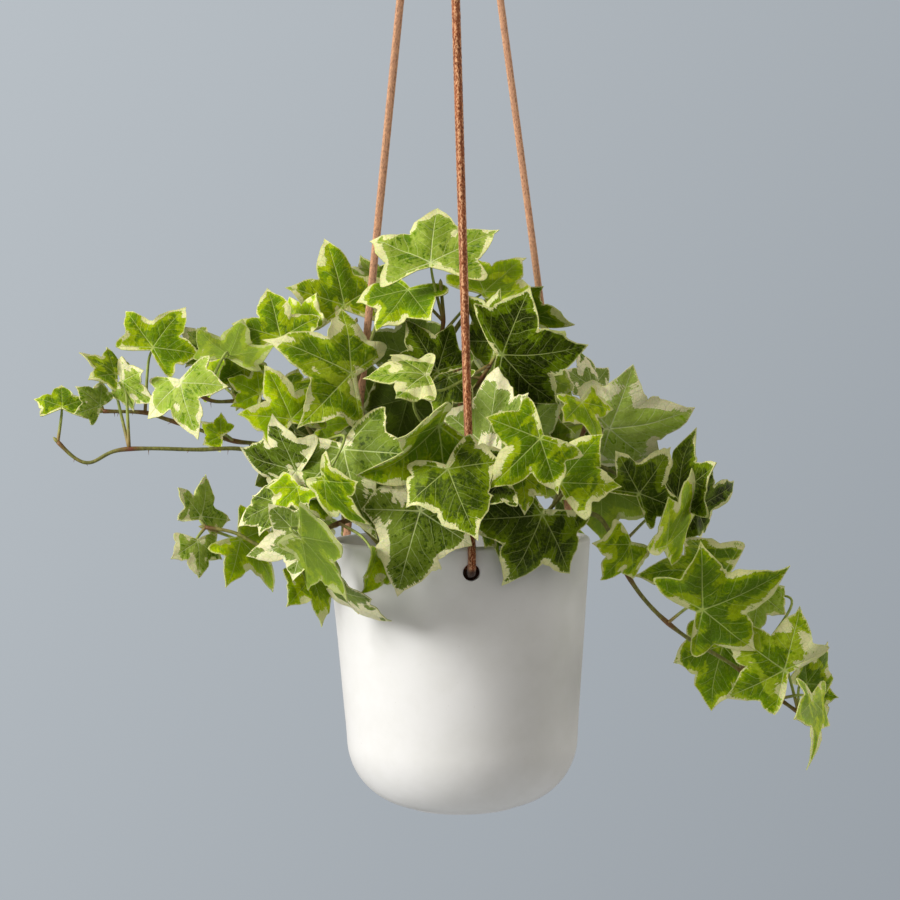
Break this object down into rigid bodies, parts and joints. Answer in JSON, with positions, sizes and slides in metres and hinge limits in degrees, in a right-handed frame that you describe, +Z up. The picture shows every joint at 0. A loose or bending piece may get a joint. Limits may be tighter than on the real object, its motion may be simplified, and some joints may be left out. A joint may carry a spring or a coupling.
{
  "type": "ivy hanging basket",
  "caption": "Trailing ivy with pointed, pale-edged leaves in a round tapered glazed pot, hung on leather laces that pass through holes under the rim and gather in a knot and a loop.",
  "frame": {"origin": "where the inside of the hanging loop bears on its hook, straight above the middle of the pot", "axes": "+Z up; -Y towards the viewer, the side with the low front leaves; the long spray trails to +X and the thin vines to -X"},
  "size_m": [0.3938, 0.2455, 0.6427],
  "materials": {
    "white_glaze": "satin",
    "suede_leather": "matte",
    "dark_compost": "matte",
    "variegated_leaf": "satin"
  },
  "bodies": {
    "root": {"hanging_loop": "suede_leather", "ivy_back": "variegated_leaf", "ivy_back_left": "variegated_leaf", "ivy_back_low": "variegated_leaf", "ivy_back_right": "variegated_leaf", "ivy_back_top": "variegated_leaf", "ivy_crown": "variegated_leaf", "ivy_front": "variegated_leaf", "ivy_front_right": "variegated_leaf", "ivy_high_vine": "variegated_leaf", "ivy_left": "variegated_leaf", "ivy_low_vine": "variegated_leaf", "ivy_lower_left": "variegated_leaf", "ivy_middle_vine": "variegated_leaf", "ivy_right": "variegated_leaf", "ivy_right_spray": "variegated_leaf", "ivy_upper_left": "variegated_leaf", "lace_front": "suede_leather", "lace_left": "suede_leather", "lace_right": "suede_leather", "pot": "white_glaze", "soil": "dark_compost", "stopper_knot_front": "suede_leather", "stopper_knot_left": "suede_leather", "stopper_knot_right": "suede_leather", "top_knot": "suede_leather"}
  },
  "joints": []
}
